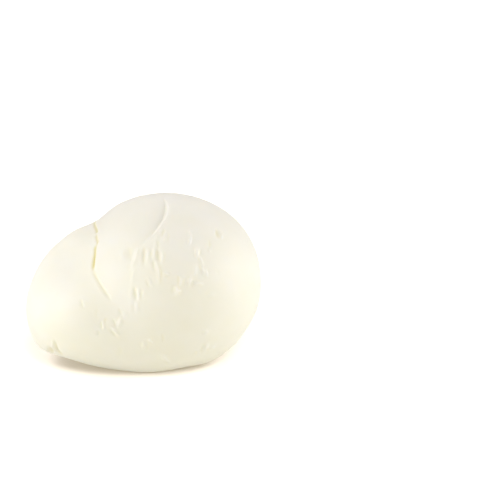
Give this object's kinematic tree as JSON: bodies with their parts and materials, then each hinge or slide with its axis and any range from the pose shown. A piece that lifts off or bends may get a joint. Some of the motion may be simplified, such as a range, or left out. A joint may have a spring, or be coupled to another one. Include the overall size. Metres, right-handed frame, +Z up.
{
  "type": "mozzarella ball",
  "caption": "Ball of fresh mozzarella with a lower lobe at its left end, a crack beside that lobe and skin folded over the crown; rests on a small flat spot.",
  "frame": {"origin": "on the resting surface, under the middle of the ball's box", "axes": "+X along the ball's length towards the taller round end, -Y towards the side with the crack and the fold, +Z up"},
  "size_m": [0.0696, 0.0654, 0.0504],
  "materials": {
    "fresh_mozzarella": "moist satin skin of stretched curd, cream white, light passing into it"
  },
  "bodies": {
    "root": {"mozzarella_ball": "fresh_mozzarella"}
  },
  "joints": []
}
